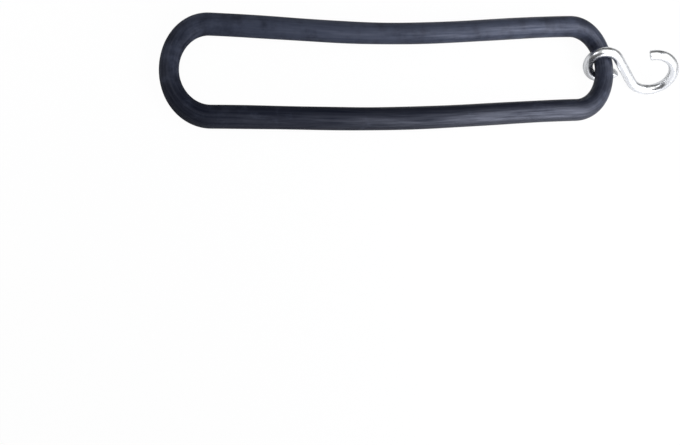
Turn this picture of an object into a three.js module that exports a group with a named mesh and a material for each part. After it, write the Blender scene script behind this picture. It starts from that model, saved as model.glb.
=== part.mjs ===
// A stretch ring for tying things down: an endless ring of round rubber cord, lying flat, with a wire S-hook
// closed round one end. Millimetres, +Z up, the ring's length along X and its hook end at +X.
import * as THREE from "three";

// Rubber ring
const CORD_DIAMETER = 10; // the two strands
const BEND_DIAMETER = 8.4; // the two bends, drawn slimmer than the strands
const RING_LENGTH = 219.8; // outside, from bend to bend
const RING_WIDTH = 51.8; // outside, across the strands where they run into the bends
const BEND_DEPTH = 17.8; // from a strand's end to the bend's outermost point, on the centreline
const BOW = 2.7; // how far the ring's middle lies to one side of its ends
const WAIST = 0.7; // how far each strand comes in at the ring's middle
const RING_SKEW = 1.1; // how far one strand is pushed towards the hook end, and the other away from it
const REST_FLAT = 1; // depth to which the cord is pressed flat where it lies on the ground
const RISE_LENGTH = 115; // length of strand that climbs from the ground to the hook
const CUT_GAP = 0.3; // between two lengths of cord that meet

// S-hook
const WIRE_DIAMETER = 4.8;
const EYE_SLACK = 0.9; // radial room for the cord in the closed eye
const SEAT_GAP = 0.3; // between the cord and the wire that it lies on
const EYE_BACKSET = 0.4; // the eye's centre, towards the ring from the bend's centreline
const EYE_ASIDE = 1.65; // the eye's centre, along the cord from the bend's outermost point
const THROAT_RADIUS = 8.15; // inside of the open hook
const LOOP_SPACING = 24.8; // from the eye's centre to the open hook's
const HOOK_LEAN = 26; // degrees from upright, about the ring's length
const HOOK_TURN = 14.4; // degrees that the hook points aside from the ring's length
const EYE_TIP = -16; // degrees, where the wire's end lies under the cord, seen along it
const HOOK_TIP = 124; // degrees, where the wire ends at the hook's mouth, seen the same way

// Facets
const CORD_SIDES = 16;
const WIRE_SIDES = 12;
const BEND_STEPS = 24;
const STRAND_STEPS = 34;
const HOOK_STEPS = 80;
const ARC_STEP = 10; // degrees between the points of the hook's line

const UP = new THREE.Vector3(0, 0, 1);
const cordRadius = CORD_DIAMETER / 2;
const bendRadius = BEND_DIAMETER / 2;
const wireRadius = WIRE_DIAMETER / 2;
const reach = RING_LENGTH / 2 - bendRadius;
const strandHalf = reach - BEND_DEPTH;
const halfWidth = RING_WIDTH / 2 - cordRadius;
// The cord lies on the eye's wire at the hook end, so that end is lifted by the wire
const hookEndLift = WIRE_DIAMETER + SEAT_GAP + REST_FLAT;

const rubber = new THREE.MeshStandardMaterial({ color: 0x262a33, roughness: 0.62, metalness: 0 });
const platedSteel = new THREE.MeshStandardMaterial({ color: 0xd9dbdc, roughness: 0.16, metalness: 1 });

// 1 at the ring's middle and -1 at its two ends
function middling(x) {
  return Math.cos((Math.PI * x) / reach);
}

function riseAt(x) {
  const climb = THREE.MathUtils.smoothstep(x, strandHalf - RISE_LENGTH, strandHalf);
  return hookEndLift * climb;
}

// Centre of the cord at distance x along the ring, side mm from the ring's own middle line
function cordCentre(x, side, radius) {
  const drawnIn = 1 - (WAIST / halfWidth) * 0.5 * (1 + middling(x));
  const bowed = -0.5 * BOW * middling(x);
  const skewed = (RING_SKEW * side) / halfWidth;
  return new THREE.Vector3(x + skewed, bowed + side * drawnIn, radius - REST_FLAT + riseAt(x));
}

class StrandLine extends THREE.Curve {
  constructor(side) {
    super();
    this.side = side;
  }
  radiusAt() {
    return cordRadius;
  }
  getPoint(t) {
    const end = strandHalf - CUT_GAP;
    return cordCentre(THREE.MathUtils.lerp(-end, end, t), this.side * halfWidth, cordRadius);
  }
}

// Half an ellipse from one strand to the other, round the end of the ring that lies towards this way
class BendLine extends THREE.Curve {
  constructor(way) {
    super();
    this.way = way;
  }
  angleAt(t) {
    return Math.PI * (t - 0.5);
  }
  radiusAt(t) {
    return THREE.MathUtils.lerp(bendRadius, cordRadius, Math.sin(this.angleAt(t)) ** 2);
  }
  getPoint(t) {
    const angle = this.angleAt(t);
    const x = this.way * (strandHalf + BEND_DEPTH * Math.cos(angle));
    return cordCentre(x, this.way * halfWidth * Math.sin(angle), this.radiusAt(t));
  }
}

// A solid length of cord along a line, pressed flat where it would reach below the ground
function cordGeometry(line, steps) {
  const positions = [];
  const indices = [];
  for (let step = 0; step <= steps; step += 1) {
    const t = step / steps;
    const centre = line.getPoint(t);
    const along = line.getTangent(t);
    const side = UP.clone().cross(along).normalize();
    const over = along.clone().cross(side);
    for (let corner = 0; corner < CORD_SIDES; corner += 1) {
      const turn = (2 * Math.PI * corner) / CORD_SIDES;
      const point = centre
        .clone()
        .addScaledVector(side, line.radiusAt(t) * Math.cos(turn))
        .addScaledVector(over, line.radiusAt(t) * Math.sin(turn));
      positions.push(point.x, point.y, Math.max(point.z, 0));
    }
  }
  for (let step = 0; step < steps; step += 1) {
    for (let corner = 0; corner < CORD_SIDES; corner += 1) {
      const a = step * CORD_SIDES + corner;
      const b = step * CORD_SIDES + ((corner + 1) % CORD_SIDES);
      indices.push(a, b, a + CORD_SIDES, b, b + CORD_SIDES, a + CORD_SIDES);
    }
  }
  const last = steps * CORD_SIDES;
  for (let corner = 1; corner < CORD_SIDES - 1; corner += 1) {
    indices.push(0, corner + 1, corner);
    indices.push(last, last + corner, last + corner + 1);
  }
  const geometry = new THREE.BufferGeometry();
  geometry.setAttribute("position", new THREE.Float32BufferAttribute(positions, 3));
  geometry.setIndex(indices);
  geometry.computeVertexNormals();
  return geometry;
}

// Points of an arc in the upright plane along X, from one angle to another in degrees
function arcPoints(centre, radius, from, to) {
  const count = Math.ceil(Math.abs(to - from) / ARC_STEP);
  const points = [];
  for (let step = 0; step <= count; step += 1) {
    const angle = THREE.MathUtils.degToRad(THREE.MathUtils.lerp(from, to, step / count));
    points.push(new THREE.Vector2(centre.x + radius * Math.cos(angle), centre.y + radius * Math.sin(angle)));
  }
  return points;
}

// The wire's line from the eye's end to the hook's tip, about the eye's centre. Seen along the cord it is two
// round loops that stand on the ground, joined by the straight that touches both. It leans as one flat S.
function hookLine() {
  const eyeLoop = bendRadius + EYE_SLACK + wireRadius;
  const openLoop = THROAT_RADIUS + wireRadius;
  const climb = openLoop - eyeLoop;
  const eyeCentre = new THREE.Vector2(0, 0);
  const openCentre = new THREE.Vector2(Math.sqrt(LOOP_SPACING ** 2 - climb ** 2), climb);
  const heading = THREE.MathUtils.radToDeg(openCentre.angle());
  const leave = heading + THREE.MathUtils.radToDeg(Math.acos((eyeLoop + openLoop) / LOOP_SPACING));
  const turn = 360;
  const flat = [
    ...arcPoints(eyeCentre, eyeLoop, EYE_TIP, leave - turn),
    ...arcPoints(openCentre, openLoop, leave + turn / 2, HOOK_TIP + turn),
  ];
  const aside = Math.tan(THREE.MathUtils.degToRad(HOOK_TURN));
  const lean = Math.tan(THREE.MathUtils.degToRad(HOOK_LEAN));
  const points = flat.map((p) => new THREE.Vector3(p.x, lean * p.y - aside * p.x, p.y));
  return new THREE.CatmullRomCurve3(points, false, "centripetal");
}

function hookGeometry() {
  const rim = [];
  for (let corner = 0; corner < WIRE_SIDES; corner += 1) {
    const turn = (2 * Math.PI * corner) / WIRE_SIDES;
    rim.push(new THREE.Vector2(wireRadius * Math.cos(turn), wireRadius * Math.sin(turn)));
  }
  return new THREE.ExtrudeGeometry(new THREE.Shape(rim), { steps: HOOK_STEPS, extrudePath: hookLine() });
}

function piece(name, geometry, material) {
  const mesh = new THREE.Mesh(geometry, material);
  mesh.name = name;
  return mesh;
}

const ring = new THREE.Group();
ring.add(piece("ring_back_bend", cordGeometry(new BendLine(-1), BEND_STEPS), rubber));
ring.add(piece("ring_upper_strand", cordGeometry(new StrandLine(1), STRAND_STEPS), rubber));
ring.add(piece("ring_lower_strand", cordGeometry(new StrandLine(-1), STRAND_STEPS), rubber));
ring.add(piece("ring_hook_bend", cordGeometry(new BendLine(1), BEND_STEPS), rubber));

const hook = piece("s_hook", hookGeometry(), platedSteel);
const bendTip = new BendLine(1).getPoint(0.5);
hook.position.set(bendTip.x - EYE_BACKSET, bendTip.y + EYE_ASIDE, bendRadius + EYE_SLACK + WIRE_DIAMETER);

const part = new THREE.Group();
part.add(ring, hook);

// The origin is under the middle of the whole part's box, on the ground
const box = new THREE.Box3().setFromObject(part);
const middle = box.getCenter(new THREE.Vector3());
part.position.set(-middle.x, -middle.y, -box.min.z);
part.updateMatrixWorld(true);

export default part;
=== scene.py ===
"""Dresses the rubber ring and its S-hook: finer meshes, moulded rubber, plated steel and a white studio."""

import math

import bpy
from mathutils import Matrix, Vector
from mathutils.kdtree import KDTree


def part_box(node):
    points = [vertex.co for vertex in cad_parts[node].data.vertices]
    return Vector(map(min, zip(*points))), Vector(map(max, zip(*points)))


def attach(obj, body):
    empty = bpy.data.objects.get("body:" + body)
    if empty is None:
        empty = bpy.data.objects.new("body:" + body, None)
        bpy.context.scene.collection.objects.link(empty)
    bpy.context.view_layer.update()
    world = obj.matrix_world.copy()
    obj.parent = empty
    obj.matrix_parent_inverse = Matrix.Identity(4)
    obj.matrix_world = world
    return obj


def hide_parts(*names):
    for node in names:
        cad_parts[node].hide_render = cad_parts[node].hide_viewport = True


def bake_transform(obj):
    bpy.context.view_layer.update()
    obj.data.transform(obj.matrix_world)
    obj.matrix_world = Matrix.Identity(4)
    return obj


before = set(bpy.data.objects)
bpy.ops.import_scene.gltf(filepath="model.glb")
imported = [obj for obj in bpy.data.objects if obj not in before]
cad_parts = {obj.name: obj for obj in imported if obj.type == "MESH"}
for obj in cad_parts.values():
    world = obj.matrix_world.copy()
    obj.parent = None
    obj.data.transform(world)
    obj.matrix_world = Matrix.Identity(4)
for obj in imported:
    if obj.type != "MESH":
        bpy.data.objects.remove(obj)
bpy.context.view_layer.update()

MM = 0.001

# Rubber ring, in millimetres, as the CAD has it
CORD_DIAMETER = 10.0
BEND_DIAMETER = 8.4
RING_LENGTH = 219.8
RING_WIDTH = 51.8
BEND_DEPTH = 17.8
BOW = 2.7
WAIST = 0.7
RING_SKEW = 1.1
REST_FLAT = 1.0
RISE_LENGTH = 115.0

# S-hook, in millimetres and degrees, as the CAD has it
WIRE_DIAMETER = 4.8
EYE_SLACK = 0.9
SEAT_GAP = 0.3
EYE_BACKSET = 0.4
EYE_ASIDE = 1.65
THROAT_RADIUS = 8.15
LOOP_SPACING = 24.8
HOOK_LEAN = 26.0
HOOK_TURN = 14.4
EYE_TIP = -16.0
HOOK_TIP = 124.0

# What only the dressed pieces have, in millimetres
CORD_WANDER = 0.03  # how much each of two waves changes the moulded cord's radius
WANDER_WAVES = (5, 13)  # how often they come once round the ring
LOWER_SWELL = 0.25  # how much thicker the cord's radius is along the lower strand
WIRE_END_BEVEL = 0.35  # the broken edge of the wire's two cut ends

# Patterns of the surfaces, in millimetres
MOULD_LINES = 0.9  # apart, round the cord
MOULD_LINE_STRETCH = 20  # how many times as long as they are apart
MOULD_LINE_DEPTH = 0.12
BLOOM_PATCH = 8.0
SKIN_GRAIN = 0.5  # coarser than the real skin, so that it shows
SKIN_DEPTH = 0.1
RUBBED_SIDE = 4.0  # from the cord's middle, outwards and inwards
DRAWING_LINES = 0.36  # apart, round the wire
DRAWING_LINE_STRETCH = 25
DRAWING_LINE_DEPTH = 0.03
PLATING_CLOUD = 3.0

# Mesh fineness
BEND_STEPS = 32  # for each half of a bend
STRAND_STEPS = 140
HOOK_STEP = 3.0  # degrees round a loop
SHANK_STEPS = 14
CORD_BEVEL = 22  # Blender's bevel resolution: 48 sides
WIRE_BEVEL = 14  # 32 sides
MERGE_DISTANCE = 0.001  # mm
RIM_ANGLE = 60.0  # degrees: a sharper edge is the rim of a cut end
RIM_STEPS = 4
SMOOTH_ANGLE = 35.0  # degrees: faces that meet at less are shaded as one

# Camera: where it looks on the ground (mm), how far away it is, and how it leans (degrees)
PICTURE_WIDTH = 680  # pixels
FOCAL_LENGTH = 1000.0  # pixels
SENSOR_WIDTH = 36.0
CAMERA_AIM = (-49.94, -68.0, 0.0)
CAMERA_DISTANCE = 446.8
CAMERA_LEAN_X = 17.75
CAMERA_LEAN_Y = 8.0
CAMERA_ROLL = -4.98

# Floor
FLOOR_SIZE = 8.0  # metres
FLOOR_DROP = 0.05  # mm below the ring
FLOOR_GLOW = 0.972  # share of the white that the camera sees which no shadow dims
MIRRORED_GLOW = 0.2  # share of that white in reflections

# Studio
BRIGHT_SIDE = (1.0, -0.25, 0.0)  # the way to it
FAR_SIDE = (0.0, 1.0, 0.0)  # the way to the dark far wall, which draws the grey lines along the wire
WINDOW_SIDE = (-0.6, 0.55, 0.58)  # the way to a window
SOFT_LIGHT = 0.2  # strength of the light from all round
DIM_WALLS = 0.1  # strength in reflections, away from the bright side
FAR_WALL_DARKNESS = 0.85
WINDOW_LIGHT = 0.4

cord_radius = CORD_DIAMETER / 2
bend_radius = BEND_DIAMETER / 2
wire_radius = WIRE_DIAMETER / 2
reach = RING_LENGTH / 2 - bend_radius
strand_half = reach - BEND_DEPTH
half_width = RING_WIDTH / 2 - cord_radius
hook_end_lift = WIRE_DIAMETER + SEAT_GAP + REST_FLAT
hook_lean = math.tan(math.radians(HOOK_LEAN))
hook_aside = math.tan(math.radians(HOOK_TURN))


def middling(x):
    """1 at the ring's middle and -1 at its two ends."""
    return math.cos(math.pi * x / reach)


def rise_at(x):
    """How far the cord is lifted towards the hook that it lies on."""
    share = min(max((x - strand_half + RISE_LENGTH) / RISE_LENGTH, 0), 1)
    return hook_end_lift * share * share * (3 - 2 * share)


def cord_centre(x, side, radius):
    """Centre of the cord at distance x along the ring, side mm from the ring's own middle line."""
    drawn_in = 1 - WAIST / half_width * 0.5 * (1 + middling(x))
    bowed = -0.5 * BOW * middling(x)
    skewed = RING_SKEW * side / half_width
    return Vector((x + skewed, bowed + side * drawn_in, radius - REST_FLAT + rise_at(x)))


def strand_station(x, side):
    """Centre and radius of the cord on a strand."""
    return cord_centre(x, side * half_width, cord_radius), cord_radius


def bend_station(way, angle):
    """Centre and radius of the cord on the bend that lies towards this way."""
    radius = bend_radius + (cord_radius - bend_radius) * math.sin(angle) ** 2
    x = way * (strand_half + BEND_DEPTH * math.cos(angle))
    return cord_centre(x, way * half_width * math.sin(angle), radius), radius


def ring_stations():
    """Centres and radii once round the ring, from the eye along the lower strand and back along the upper."""
    quarter = [math.pi / 2 * step / BEND_STEPS for step in range(BEND_STEPS)]
    strand = [strand_half * (1 - 2 * step / STRAND_STEPS) for step in range(STRAND_STEPS)]
    stations = [bend_station(1, -angle) for angle in quarter]
    stations += [strand_station(x, -1) for x in strand]
    stations += [bend_station(-1, math.pi / 2 - angle) for angle in quarter]
    stations += [bend_station(-1, -angle) for angle in quarter]
    stations += [strand_station(-x, 1) for x in strand]
    stations += [bend_station(1, math.pi / 2 - angle) for angle in quarter]
    return stations


def arc_points(centre, radius, start, end):
    """Points of an arc in the upright plane along X, from one angle to another in degrees."""
    steps = math.ceil(abs(end - start) / HOOK_STEP)
    angles = [math.radians(start + (end - start) * step / steps) for step in range(steps + 1)]
    return [Vector((centre.x + radius * math.cos(a), centre.y + radius * math.sin(a))) for a in angles]


def hook_points():
    """The wire's line from the eye's end to the hook's tip, in mm about the eye's centre."""
    eye_loop = bend_radius + EYE_SLACK + wire_radius
    open_loop = THROAT_RADIUS + wire_radius
    climb = open_loop - eye_loop
    open_centre = Vector((math.sqrt(LOOP_SPACING**2 - climb**2), climb))
    heading = math.degrees(math.atan2(open_centre.y, open_centre.x))
    leave = heading + math.degrees(math.acos((eye_loop + open_loop) / LOOP_SPACING))
    eye = arc_points(Vector((0, 0)), eye_loop, EYE_TIP, leave - 360)
    throat = arc_points(open_centre, open_loop, leave + 180, HOOK_TIP + 360)
    shank = [eye[-1].lerp(throat[0], step / SHANK_STEPS) for step in range(1, SHANK_STEPS)]
    return [Vector((p.x, hook_lean * p.y - hook_aside * p.x, p.y)) for p in eye + shank + throat]


def ring_place():
    """The ring's own middle in the frame, from the box of the back bend that the CAD made."""
    low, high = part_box("ring_back_bend")
    x = low[0] / MM + RING_LENGTH / 2
    y = (low[1] + high[1]) / 2 / MM - cord_centre(-strand_half, 0, cord_radius).y
    return Vector((x, y, 0))


def rounded_tube(name, centres, radii, bevel, closed):
    """A round tube along points in mm, drawn as a bevelled curve and made a mesh in the frame's metres."""
    bpy.ops.object.select_all(action="DESELECT")
    bpy.ops.curve.primitive_nurbs_path_add(location=(0, 0, 0))
    tube = bpy.context.object
    tube.name = name
    curve = tube.data
    curve.splines.clear()
    line = curve.splines.new("POLY")
    line.points.add(len(centres) - 1)
    for point, centre, radius in zip(line.points, centres, radii):
        point.co = (*(centre * MM), 1)
        point.radius = radius / radii[0]
    line.use_cyclic_u = closed
    line.use_smooth = True
    curve.twist_mode = "Z_UP" if closed else "MINIMUM"
    curve.bevel_depth = radii[0] * MM
    curve.bevel_resolution = bevel
    curve.use_fill_caps = not closed
    bpy.ops.object.convert(target="MESH")
    return tube


def wrap_pattern(piece, centres, upright, closed):
    """Gives each point its place round and along the piece in mm, so that a pattern follows it.

    A closed piece's length is laid round a circle in two of the four numbers, so the pattern has no seam.
    """
    count = len(centres)
    ends = centres[1:] + [centres[0] if closed else centres[-1]]
    lengths = [0.0]
    for here, after in zip(centres, ends):
        lengths.append(lengths[-1] + (after - here).length)
    turn = lengths[-1] / (2 * math.pi)
    tree = KDTree(count)
    for index, centre in enumerate(centres):
        tree.insert(centre * MM, index)
    tree.balance()
    piece.data.attributes.new("wrap", "FLOAT_VECTOR", "POINT")
    piece.data.attributes.new("wrap_w", "FLOAT", "POINT")
    around = piece.data.attributes["wrap"]
    along = piece.data.attributes["wrap_w"]
    for vertex in piece.data.vertices:
        index = tree.find(vertex.co)[1]
        after = centres[(index + 1) % count] if closed else centres[min(index + 1, count - 1)]
        before = centres[index - 1] if closed else centres[max(index - 1, 0)]
        forward = (after - before).normalized()
        sideways = upright.cross(forward).normalized()
        offset = vertex.co / MM - centres[index]
        across = (offset.dot(sideways), offset.dot(forward.cross(sideways)))
        angle = lengths[index] / turn
        place = (turn * math.cos(angle), turn * math.sin(angle)) if closed else (lengths[index], 0)
        around.data[vertex.index].vector = (*across, place[0])
        along.data[vertex.index].value = place[1]


def linear(hex_colour):
    """An sRGB hex colour as linear red, green, blue and alpha."""
    parts = [int(hex_colour[place : place + 2], 16) / 255 for place in (1, 3, 5)]
    return (*[c / 12.92 if c <= 0.04045 else ((c + 0.055) / 1.055) ** 2.4 for c in parts], 1)


def add(tree, kind, sockets=None, **settings):
    """Adds a node, sets its values, and links each socket that is given another node's output.

    A Mix node's sockets 2 and 3 are its two numbers, and 6 and 7 are its two colours.
    """
    node = tree.nodes.new(kind)
    for name, value in settings.items():
        setattr(node, name, value)
    for name, value in (sockets or {}).items():
        if isinstance(value, bpy.types.NodeSocket):
            tree.links.new(value, node.inputs[name])
        else:
            node.inputs[name].default_value = value
    return node


def new_material(name):
    """An empty node material and its tree."""
    material = bpy.data.materials.new(name)
    material.use_nodes = True
    material.node_tree.nodes.clear()
    return material, material.node_tree


def moulded_rubber():
    """Black EPDM rubber, moulded: nearly matt, with a soft broad sheen.

    It has faint lines along the cord and patches of grey bloom. Painted light and shade make the upper strand
    lighter and the lower strand darker, and it shines less at the back bend and inside.
    """
    material, tree = new_material("moulded_rubber")
    wrap = add(tree, "ShaderNodeAttribute", attribute_name="wrap").outputs["Vector"]
    wrap_w = add(tree, "ShaderNodeAttribute", attribute_name="wrap_w").outputs["Fac"]
    # X runs outwards from the cord's middle, and Z from the back bend to the hook
    place = add(tree, "ShaderNodeSeparateXYZ", {0: wrap}).outputs
    # Lines from the mould, along the cord
    shrink = 1 / MOULD_LINE_STRETCH
    lines_at = add(tree, "ShaderNodeVectorMath", {0: wrap, 1: (1, 1, shrink)}, operation="MULTIPLY")
    lines_w = add(tree, "ShaderNodeMath", {0: wrap_w, 1: shrink}, operation="MULTIPLY")
    lines = add(
        tree,
        "ShaderNodeTexNoise",
        {
            "Vector": lines_at.outputs[0],
            "W": lines_w.outputs[0],
            "Scale": 1 / MOULD_LINES,
            "Detail": 3.0,
            "Roughness": 0.6,
        },
        noise_dimensions="4D",
    )
    # Grey bloom in patches, plus painted light and shade: the upper strand, where wrap_w is below 0, is
    # painted lighter and the lower strand darker
    patches = add(
        tree,
        "ShaderNodeTexNoise",
        {"Vector": wrap, "W": wrap_w, "Scale": 1 / BLOOM_PATCH, "Detail": 4.0, "Roughness": 0.62},
        noise_dimensions="4D",
    )
    # Painted light and shade by strand: lighter on the upper strand, darker on the lower
    painted_strand_light = add(
        tree,
        "ShaderNodeMapRange",
        {"Value": wrap_w, "From Min": 60.0, "From Max": -60.0, "To Min": -0.2, "To Max": 0.18},
    )
    bloom_and_light_spread = add(tree, "ShaderNodeMath", {0: patches.outputs["Fac"], 1: painted_strand_light.outputs[0]}, operation="ADD")
    bloom_and_painted_light = add(
        tree,
        "ShaderNodeMapRange",
        {"Value": bloom_and_light_spread.outputs[0], "From Min": 0.35, "From Max": 0.75},
        interpolation_type="SMOOTHSTEP",
    )
    # Base colour: the bloom patches, with painted light on the upper strand and painted shade on the lower
    tint = add(
        tree,
        "ShaderNodeMix",
        {0: bloom_and_painted_light.outputs[0], 6: linear("#0e121e"), 7: linear("#353a48")},
        data_type="RGBA",
    )
    # Duller towards the back bend: rougher, and less shine
    dull = add(
        tree,
        "ShaderNodeMapRange",
        {"Value": place["Z"], "From Min": 40.0, "From Max": -70.0, "To Min": 0.0, "To Max": 1.0},
    )
    rough_lines = add(
        tree,
        "ShaderNodeMapRange",
        {"Value": lines.outputs["Fac"], "From Min": 0.3, "From Max": 0.7, "To Min": 0.4, "To Max": 0.58},
    )
    rough = add(
        tree,
        "ShaderNodeMath",
        {0: dull.outputs[0], 1: 0.18, 2: rough_lines.outputs[0]},
        operation="MULTIPLY_ADD",
    )
    shine_lines = add(
        tree,
        "ShaderNodeMapRange",
        {"Value": lines.outputs["Fac"], "From Min": 0.3, "From Max": 0.7, "To Min": 0.8, "To Max": 0.25},
    )
    shine_left = add(
        tree,
        "ShaderNodeMath",
        {0: dull.outputs[0], 1: -0.45, 2: 1.0},
        operation="MULTIPLY_ADD",
    )
    shine_along = add(
        tree,
        "ShaderNodeMath",
        {0: shine_lines.outputs[0], 1: shine_left.outputs[0]},
        operation="MULTIPLY",
    )
    # The ring's outer side is rubbed to a sheen, its inner side is not
    rubbed = add(
        tree,
        "ShaderNodeMapRange",
        {
            "Value": place["X"],
            "From Min": -RUBBED_SIDE,
            "From Max": RUBBED_SIDE,
            "To Min": 0.65,
            "To Max": 1.2,
        },
    )
    sheen = add(
        tree,
        "ShaderNodeMath",
        {0: shine_along.outputs[0], 1: rubbed.outputs[0]},
        operation="MULTIPLY",
    )
    # Relief of the lines, with the grained skin of the mould on it
    line_bump = add(
        tree,
        "ShaderNodeBump",
        {"Height": lines.outputs["Fac"], "Strength": 0.4, "Distance": MOULD_LINE_DEPTH * MM},
    )
    grain = add(
        tree,
        "ShaderNodeTexNoise",
        {"Vector": wrap, "W": wrap_w, "Scale": 1 / SKIN_GRAIN, "Detail": 2.0, "Roughness": 0.55},
        noise_dimensions="4D",
    )
    skin_bump = add(
        tree,
        "ShaderNodeBump",
        {
            "Height": grain.outputs["Fac"],
            "Normal": line_bump.outputs[0],
            "Strength": 0.4,
            "Distance": SKIN_DEPTH * MM,
        },
    )
    shader = add(
        tree,
        "ShaderNodeBsdfPrincipled",
        {
            "Base Color": tint.outputs[2],
            "Roughness": rough.outputs[0],
            "Normal": skin_bump.outputs[0],
            "IOR": 1.5,
            "Specular IOR Level": sheen.outputs[0],
            "Specular Tint": linear("#e4e9fb"),
        },
    )
    add(tree, "ShaderNodeOutputMaterial", {"Surface": shader.outputs[0]})
    return material


def plated_steel():
    """Drawn steel wire with bright zinc plating: a clear mirror, softened by drawing lines and clouds."""
    material, tree = new_material("plated_steel")
    wrap = add(tree, "ShaderNodeAttribute", attribute_name="wrap").outputs["Vector"]
    # Drawing lines along the wire
    shrink = 1 / DRAWING_LINE_STRETCH
    lines_at = add(tree, "ShaderNodeVectorMath", {0: wrap, 1: (1, 1, shrink)}, operation="MULTIPLY")
    lines = add(
        tree,
        "ShaderNodeTexNoise",
        {"Vector": lines_at.outputs[0], "Scale": 1 / DRAWING_LINES, "Detail": 3.0, "Roughness": 0.6},
    )
    # Clouding of the plating
    clouds = add(
        tree,
        "ShaderNodeTexNoise",
        {"Vector": wrap, "Scale": 1 / PLATING_CLOUD, "Detail": 3.0, "Roughness": 0.6},
    )
    tint = add(
        tree,
        "ShaderNodeMix",
        {0: clouds.outputs["Fac"], 6: linear("#e6e8ea"), 7: linear("#f6f7f7")},
        data_type="RGBA",
    )
    rough = add(
        tree,
        "ShaderNodeMapRange",
        {"Value": lines.outputs["Fac"], "From Min": 0.3, "From Max": 0.7, "To Min": 0.18, "To Max": 0.3},
    )
    bump = add(
        tree,
        "ShaderNodeBump",
        {"Height": lines.outputs["Fac"], "Strength": 0.15, "Distance": DRAWING_LINE_DEPTH * MM},
    )
    shader = add(
        tree,
        "ShaderNodeBsdfPrincipled",
        {
            "Base Color": tint.outputs[2],
            "Roughness": rough.outputs[0],
            "Normal": bump.outputs[0],
            "Metallic": 1.0,
        },
    )
    add(tree, "ShaderNodeOutputMaterial", {"Surface": shader.outputs[0]})
    return material


def finish_piece(piece, material):
    """Shades a piece smooth and gives it its material."""
    bpy.ops.object.select_all(action="DESELECT")
    piece.select_set(True)
    bpy.context.view_layer.objects.active = piece
    bpy.ops.object.shade_smooth_by_angle(angle=math.radians(SMOOTH_ANGLE))
    piece.data.materials.clear()
    piece.data.materials.append(material)


def rubber_ring(place):
    """One unbroken ring of cord, pressed flat where it lies on the ground."""
    stations = ring_stations()
    centres = [centre + place for centre, _ in stations]
    slow, quick = WANDER_WAVES
    radii = []
    for index, (_, radius) in enumerate(stations):
        turn = 2 * math.pi * index / len(stations)
        wander = CORD_WANDER * (math.sin(slow * turn) + math.sin(quick * turn + 1))
        radii.append(radius + wander + LOWER_SWELL * 0.5 * (1 + math.sin(turn)))
    ring = rounded_tube("rubber_ring", centres, radii, CORD_BEVEL, True)
    for vertex in ring.data.vertices:
        vertex.co.z = max(vertex.co.z, 0)
    wrap_pattern(ring, centres, Vector((0, 0, 1)), True)
    finish_piece(ring, moulded_rubber())
    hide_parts("ring_back_bend", "ring_upper_strand", "ring_lower_strand", "ring_hook_bend")
    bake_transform(ring)


def break_edges(piece, radius):
    """Bevels the sharp rims of the wire's two cut ends."""
    bpy.ops.object.mode_set(mode="EDIT")
    bpy.ops.mesh.select_mode(type="EDGE")
    bpy.ops.mesh.select_all(action="DESELECT")
    bpy.ops.mesh.edges_select_sharp(sharpness=math.radians(RIM_ANGLE))
    bpy.ops.mesh.bevel(offset=radius * MM, segments=RIM_STEPS, affect="EDGES")
    bpy.ops.object.mode_set(mode="OBJECT")


def s_hook(place):
    """The bent wire, with the broken edges of its cut ends."""
    tip = bend_station(1, 0)[0]
    eye_height = bend_radius + EYE_SLACK + WIRE_DIAMETER
    eye = place + Vector((tip.x - EYE_BACKSET, tip.y + EYE_ASIDE, eye_height))
    centres = [eye + point for point in hook_points()]
    hook = rounded_tube("plated_s_hook", centres, [wire_radius] * len(centres), WIRE_BEVEL, False)
    bpy.ops.object.mode_set(mode="EDIT")
    bpy.ops.mesh.select_all(action="SELECT")
    bpy.ops.mesh.remove_doubles(threshold=MERGE_DISTANCE * MM)
    bpy.ops.mesh.normals_make_consistent(inside=False)
    bpy.ops.object.mode_set(mode="OBJECT")
    break_edges(hook, WIRE_END_BEVEL)
    wrap_pattern(hook, centres, Vector((hook_aside, 1, -hook_lean)), False)
    finish_piece(hook, plated_steel())
    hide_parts("s_hook")
    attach(hook, "hook")


def photo_camera():
    """The camera at the photograph's place: it leans over the ring from its back end."""
    lean_x = math.radians(CAMERA_LEAN_X)
    lean_y = math.radians(CAMERA_LEAN_Y)
    roll = math.radians(CAMERA_ROLL)
    ahead = math.cos(lean_x)
    look = Vector((math.sin(lean_x), math.sin(lean_y) * ahead, -math.cos(lean_y) * ahead))
    level = look.cross(Vector((0, 1, 0))).normalized()
    upright = level.cross(look)
    right = level * math.cos(roll) + upright * math.sin(roll)
    up = upright * math.cos(roll) - level * math.sin(roll)
    place = (Vector(CAMERA_AIM) - look * CAMERA_DISTANCE) * MM
    data = bpy.data.cameras.new("photo_camera")
    data.sensor_fit = "HORIZONTAL"
    data.sensor_width = SENSOR_WIDTH
    data.lens = SENSOR_WIDTH * FOCAL_LENGTH / PICTURE_WIDTH
    data.clip_start = 0.01
    data.clip_end = 50
    camera = bpy.data.objects.new("photo_camera", data)
    bpy.context.collection.objects.link(camera)
    turned = Matrix((right, up, -look)).transposed().to_4x4()
    camera.matrix_world = Matrix.Translation(place) @ turned
    bpy.context.scene.camera = camera


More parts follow.
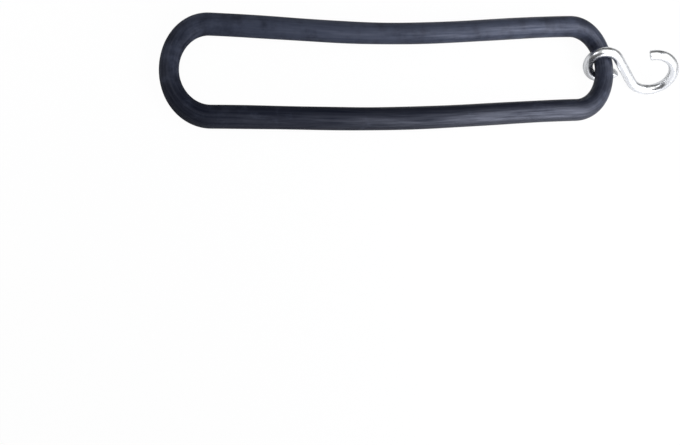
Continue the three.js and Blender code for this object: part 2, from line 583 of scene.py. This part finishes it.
def white_floor():
    """A wide floor: white to the camera but for a faint shadow.

    Reflections show it greyer, and it gives back less light, which draws the wire's grey lines.
    """
    bpy.ops.object.select_all(action="DESELECT")
    bpy.ops.mesh.primitive_plane_add(size=FLOOR_SIZE, location=(0, 0, -FLOOR_DROP * MM))
    floor = bpy.context.object
    floor.name = "floor"
    material, tree = new_material("white_floor")
    path = add(tree, "ShaderNodeLightPath").outputs
    white = add(tree, "ShaderNodeEmission", {"Color": linear("#ffffff"), "Strength": 1.0})
    white_paper = add(tree, "ShaderNodeBsdfDiffuse", {"Color": linear("#ffffff")})
    shown = add(
        tree,
        "ShaderNodeMixShader",
        {0: FLOOR_GLOW, 1: white_paper.outputs[0], 2: white.outputs[0]},
    )
    grey_paper = add(tree, "ShaderNodeBsdfDiffuse", {"Color": linear("#c4c4c4")})
    share = add(tree, "ShaderNodeMath", {0: path["Is Glossy Ray"], 1: MIRRORED_GLOW}, operation="MULTIPLY")
    mirrored = add(
        tree,
        "ShaderNodeMixShader",
        {0: share.outputs[0], 1: grey_paper.outputs[0], 2: white.outputs[0]},
    )
    seen = add(
        tree,
        "ShaderNodeMath",
        {0: path["Is Camera Ray"], 1: path["Is Transmission Ray"]},
        operation="MAXIMUM",
    )
    either = add(
        tree,
        "ShaderNodeMixShader",
        {0: seen.outputs[0], 1: mirrored.outputs[0], 2: shown.outputs[0]},
    )
    add(tree, "ShaderNodeOutputMaterial", {"Surface": either.outputs[0]})
    floor.data.materials.append(material)


def studio_world():
    """Soft light from all round, white where the camera looks past the floor.

    Reflections show a bright side, dim walls, a dark far wall and a window.
    """
    world = bpy.data.worlds.new("studio")
    bpy.context.scene.world = world
    world.use_nodes = True
    tree = world.node_tree
    tree.nodes.clear()
    path = add(tree, "ShaderNodeLightPath").outputs
    way = add(tree, "ShaderNodeTexCoord").outputs["Generated"]
    bright = add(tree, "ShaderNodeVectorMath", {0: way, 1: BRIGHT_SIDE}, operation="DOT_PRODUCT")
    walls = add(
        tree,
        "ShaderNodeMapRange",
        {
            "Value": bright.outputs["Value"],
            "From Min": 0.25,
            "From Max": 0.55,
            "To Min": DIM_WALLS,
            "To Max": 1.0,
        },
        interpolation_type="SMOOTHSTEP",
    )
    aside = add(tree, "ShaderNodeVectorMath", {0: way, 1: WINDOW_SIDE}, operation="DOT_PRODUCT")
    window = add(
        tree,
        "ShaderNodeMapRange",
        {
            "Value": aside.outputs["Value"],
            "From Min": 0.3,
            "From Max": 0.95,
            "To Min": 0.0,
            "To Max": WINDOW_LIGHT,
        },
        interpolation_type="SMOOTHSTEP",
    )
    room = add(tree, "ShaderNodeMath", {0: walls.outputs[0], 1: window.outputs[0]}, operation="ADD")
    # The far wall is dark low down and fades towards the ceiling
    far = add(tree, "ShaderNodeVectorMath", {0: way, 1: FAR_SIDE}, operation="DOT_PRODUCT")
    far_wall = add(
        tree,
        "ShaderNodeMapRange",
        {
            "Value": far.outputs["Value"],
            "From Min": -0.35,
            "From Max": 0.25,
            "To Min": 0.0,
            "To Max": FAR_WALL_DARKNESS,
        },
        interpolation_type="SMOOTHSTEP",
    )
    height = add(tree, "ShaderNodeSeparateXYZ", {0: way}).outputs["Z"]
    low = add(
        tree,
        "ShaderNodeMapRange",
        {"Value": height, "From Min": 0.25, "From Max": 0.65, "To Min": 1.0, "To Max": 0.0},
        interpolation_type="SMOOTHSTEP",
    )
    dark = add(tree, "ShaderNodeMath", {0: far_wall.outputs[0], 1: low.outputs[0]}, operation="MULTIPLY")
    light = add(tree, "ShaderNodeMath", {0: 1.0, 1: dark.outputs[0]}, operation="SUBTRACT")
    mirrored = add(tree, "ShaderNodeMath", {0: room.outputs[0], 1: light.outputs[0]}, operation="MULTIPLY")
    seen = add(
        tree,
        "ShaderNodeMath",
        {0: path["Is Camera Ray"], 1: path["Is Transmission Ray"]},
        operation="MAXIMUM",
    )
    soft = add(tree, "ShaderNodeMix", {0: path["Is Glossy Ray"], 2: SOFT_LIGHT, 3: mirrored.outputs[0]})
    strength = add(tree, "ShaderNodeMix", {0: seen.outputs[0], 2: soft.outputs[0], 3: 1.0})
    sky = add(tree, "ShaderNodeBackground", {"Color": linear("#ffffff"), "Strength": strength.outputs[0]})
    add(tree, "ShaderNodeOutputWorld", {"Surface": sky.outputs[0]})


def softbox(name, place, aim, tall_way, size, power, colour):
    """A soft lamp with its width and height, placed and aimed in millimetres, its height along tall_way."""
    data = bpy.data.lights.new(name, "AREA")
    data.shape = "RECTANGLE"
    data.size = size[0] * MM
    data.size_y = size[1] * MM
    data.energy = power
    data.color = linear(colour)[:3]
    lamp = bpy.data.objects.new(name, data)
    bpy.context.collection.objects.link(lamp)
    away = (Vector(place) - Vector(aim)).normalized()
    across = Vector(tall_way).cross(away).normalized()
    turned = Matrix((across, away.cross(across), away)).transposed().to_4x4()
    lamp.matrix_world = Matrix.Translation(Vector(place) * MM) @ turned
    lamp.visible_camera = False


photo_camera()
ring_middle = ring_place()
rubber_ring(ring_middle)
s_hook(ring_middle)
white_floor()
studio_world()
softbox(
    "key_softbox",
    place=(160, -145, 170),
    aim=(50, 0, 5),
    tall_way=(0, 0.73, 0.68),
    size=(220, 410),
    power=1.3,
    colour="#f7f8ff",
)
softbox(
    "back_softbox",
    place=(-240, 60, 150),
    aim=(-115, 5, 5),
    tall_way=(0, 0, 1),
    size=(150, 150),
    power=0.18,
    colour="#f7f8ff",
)
softbox(
    "top_softbox",
    place=(80, 2, 90),
    aim=(80, 2, 0),
    tall_way=(0, 1, 0),
    size=(80, 85),
    power=0.025,
    colour="#ffffff",
)

bpy.context.scene.view_settings.view_transform = "Standard"
